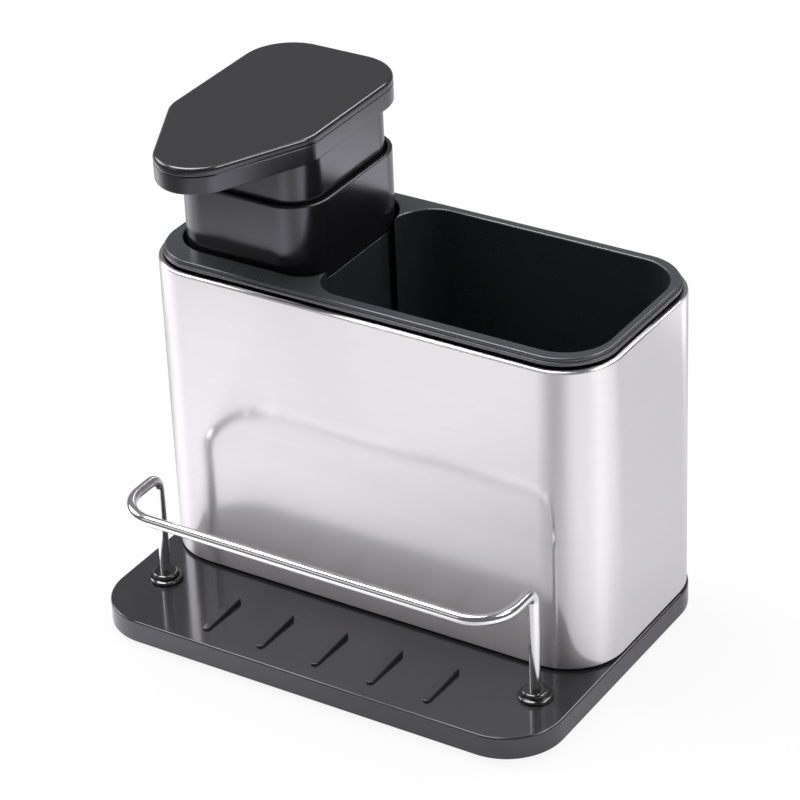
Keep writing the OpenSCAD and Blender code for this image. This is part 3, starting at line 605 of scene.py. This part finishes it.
# head and its cover: nose, shoulder and back are the centre of an arc from the pump's axis, and its radius
head = {
    "low": 184.3, "seam": 191.4, "high": 194.6, "wall": 2.0, "floor": 1.8, "seamEdge": 0.45, "foot": 0.4,
    "nose": (-56.4, 16.0), "shoulder": (17.4, -26.1, 13.8), "back": (11.7, 20.8, 19.5), "slant": 26.3,
    "skirt": (56.5, 64.8, 13.1), "skirtLow": 151.1, "skirtTop": 185.2, "skirtWall": 1.8, "skirtEdge": 0.5,
    "socket": 6.5, "socketLow": 172.7, "stem": 3.6, "outlet": 2.3, "boss": 4.6, "bossTop": 191.02,
    "nozzle": 3.0, "nozzleY": -61.4, "spoutZ": 188.56, "spout": 2.4, "spoutSides": 32,
    "coverEdge": 1.6, "lip": 2.3, "lipWall": 1.6, "lipLow": 189.8,
}
noseY, noseR = head["nose"]
shoulderX, shoulderY, shoulderR = head["shoulder"]
backX, backY, backR = head["back"]
slant = head["slant"]
headArcs = [(pumpX + x, pumpY + y, r, start, stop) for x, y, r, start, stop in (
    (0, noseY, noseR, 180 + slant, 270), (0, noseY, noseR, 270, 360 - slant),
    (shoulderX, shoulderY, shoulderR, 360 - slant, 360), (backX, backY, backR, 0, 90),
    (-backX, backY, backR, 90, 180), (-shoulderX, shoulderY, shoulderR, 180, 180 + slant))]
skirtArcs = plateArcs(pumpX, pumpY, *head["skirt"])
nozzleY = pumpY + head["nozzleY"]
headShell = plate("headShell", headArcs, head["low"], head["seam"], head["foot"], head["seamEdge"])
room = plate("room", headArcs, head["low"] + head["floor"], head["seam"] + over, shrink=head["wall"])
combine(headShell, room)
skirt = plate("skirt", skirtArcs, head["skirtLow"], head["skirtTop"], head["skirtEdge"], 0)
combine(headShell, skirt, "UNION")
skirtRoom = plate("skirtRoom", skirtArcs, head["skirtLow"] - over, head["low"], shrink=head["skirtWall"])
combine(headShell, skirtRoom)
socket = rod("socket", pumpX, pumpY, head["socket"], head["socketLow"], head["bossTop"])
combine(headShell, socket, "UNION")
noseBoss = rod("noseBoss", pumpX, nozzleY, head["boss"], head["low"] + bite, head["bossTop"])
combine(headShell, noseBoss, "UNION")
combine(headShell, rod("stemHole", pumpX, pumpY, head["stem"], head["socketLow"] - over, head["low"]))
combine(headShell, rod("outlet", pumpX, pumpY, head["outlet"], head["low"] - over, head["spoutZ"]))
combine(headShell, rod("nozzleHole", pumpX, nozzleY, head["nozzle"], head["low"] - over, head["spoutZ"]))
spoutHole = rod("spoutHole", 0, 0, head["spout"], 0, -head["nozzleY"], head["spoutSides"])
alone(spoutHole)
spoutHole.rotation_euler = (math.pi / 2, 0, 0)
spoutHole.location = (pumpX * mm, pumpY * mm, head["spoutZ"] * mm)
bpy.ops.object.transform_apply(location=True, rotation=True, scale=True)
combine(headShell, spoutHole)
dress(headShell, blackFinish, "head", "black_plastic", "head_shell")

headCover = plate("headCover", headArcs, head["seam"], head["high"], head["seamEdge"], head["coverEdge"])
lip = plate("lip", headArcs, head["lipLow"], head["seam"] + bite, shrink=head["lip"])
lipRoom = plate("lipRoom", headArcs, head["lipLow"] - over, head["seam"],
                shrink=head["lip"] + head["lipWall"])
combine(lip, lipRoom)
combine(headCover, lip, "UNION")
dress(headCover, blackFinish, "head", "black_plastic", "head_cover")
print("head made")


# camera
cameraFit = {
    "azimuth": 32.95, "elevation": 30.30, "roll": -2.478, "lens": 151.909, "sensor": 36,
    "place": (0.589557, -0.903254, 0.722562),
}
azimuth = math.radians(cameraFit["azimuth"])
elevation = math.radians(cameraFit["elevation"])
roll = math.radians(cameraFit["roll"])
flat = math.cos(elevation)  # the part of a line of sight that runs level
back = Vector((math.sin(azimuth) * flat, -math.cos(azimuth) * flat, math.sin(elevation)))
right = (-back).cross(Vector((0, 0, 1))).normalized()
up = right.cross(-back)
across = right * math.cos(roll) + up * math.sin(roll)
above = up * math.cos(roll) - right * math.sin(roll)
cameraData = bpy.data.cameras.new("viewCamera")
cameraData.lens = cameraFit["lens"]
cameraData.sensor_width = cameraFit["sensor"]
camera = bpy.data.objects.new("viewCamera", cameraData)
bpy.context.scene.collection.objects.link(camera)
camera.matrix_world = Matrix((across, above, back)).transposed().to_4x4()
camera.location = cameraFit["place"]
bpy.context.scene.camera = camera

# floor and light, in metres
studio = {
    "room": 0.14, "tint": (1.0, 0.985, 1.04), "floorSize": 6, "floorZ": -0.0005, "floorColour": 0.86,
    "floorSeen": 0.9, "shadowSeen": 0.3, "base": 0.68, "far": 0.2, "darkFrom": 0.30, "darkTo": 0.39,
    "paintedPools": {  # painted pools of light and shade on the floor that only shiny parts mirror: place, inner and outer reach, level
        "front": ((0.04, -0.25), 0.08, 0.20, 0.54),
        "left": ((-0.22, -0.27), 0.18, 0.33, 1.55),
        "side": ((-0.42, 0.02), 0.06, 0.15, 1.7),
        "edge": ((-0.22, 0.14), 0.08, 0.15, 0.3),
        "right": ((0.36, -0.06), 0.17, 0.28, 1.4),
        "behind": ((0.17, 0.30), 0.03, 0.08, 2.3),
        "limb": ((0.0, 0.27), 0.08, 0.12, 0.5),
    },
    "boxes": {  # soft boxes: place, width, height, power
        "topBox": ((-0.45, 0.05, 1.35), 0.8, 0.8, 15),
        "keyBox": ((0.32, 0.98, 1.33), 0.45, 0.7, 8),
        "sideBox": ((-1.25, -0.03, 0.78), 0.7, 0.6, 6.2),
        "rightBox": ((0.95, 0.25, 1.25), 0.5, 0.5, 5),
        "frontBox": ((-1.0, -1.5, 1.05), 1.0, 0.8, 1.3),
        "backBox": ((-1.22, 1.88, 1.35), 2.4, 1.8, 1.2),
    },
    "aim": (0, 0, 0.08),
}
bpy.ops.object.select_all(action="DESELECT")
bpy.ops.mesh.primitive_plane_add(size=studio["floorSize"], location=(0, 0, studio["floorZ"]))
floor = bpy.context.active_object
floor.name = "studioFloor"
floorFinish = bpy.data.materials.new("floorFinish")
n = NodeSet(floorFinish)
matt = n.add("ShaderNodeBsdfDiffuse", {"Color": shade(studio["floorColour"])})
place = n.add("ShaderNodeTexCoord", out="Object")
# painted light: for glossy rays the floor glows in pools that brighten or darken what shiny parts mirror,
# though the floor is no lamp
light = shade(studio["base"], studio["tint"])
for middle, inner, outer, brightness in studio["paintedPools"].values():
    away = n.add("ShaderNodeVectorMath", {0: place, 1: (*middle, 0)}, "Value", operation="DISTANCE")
    light = n.tint(1 - n.fade(away, inner, outer), light, shade(brightness, studio["tint"]))
ahead = n.add("ShaderNodeVectorMath", {0: place, 1: (-back.x, back.y, 0)}, "Value", operation="DOT_PRODUCT")
past = n.fade(ahead / flat, studio["darkFrom"], studio["darkTo"])
# the painted glow keeps a share of the lamp-lit floor, which carries the real shadow; far ahead of the camera
# the mirrored floor is a painted dark glow
lit = n.blend(studio["shadowSeen"], n.glow(light), matt)
paintedMirror = n.blend(past, lit, n.glow(shade(studio["far"])))
unseen = n.blend(n.ray("Glossy"), matt, paintedMirror)
n.finish(n.blend(n.ray("Camera") * studio["floorSeen"], unseen, n.glow(shade(1.0))))
floor.data.materials.append(floorFinish)

studioWorld = bpy.data.worlds.new("studioWorld")
bpy.context.scene.world = studioWorld
n = NodeSet(studioWorld)
dim = n.add("ShaderNodeBackground", {"Color": shade(1.0), "Strength": studio["room"]})
white = n.add("ShaderNodeBackground", {"Color": shade(1.0), "Strength": 1.0})
n.finish(n.blend(n.ray("Camera"), dim, white), "World")


def softBox(name, place, width, height, power):
    lamp = bpy.data.lights.new(name, "AREA")
    lamp.shape = "RECTANGLE"
    lamp.size, lamp.size_y, lamp.energy = width, height, power
    box = bpy.data.objects.new(name, lamp)
    bpy.context.scene.collection.objects.link(box)
    box.location = place
    box.rotation_euler = (Vector(studio["aim"]) - Vector(place)).to_track_quat("-Z", "Y").to_euler()


for name, values in studio["boxes"].items():
    softBox(name, *values)
bpy.context.scene.view_settings.view_transform = "Standard"
print("camera and light set")
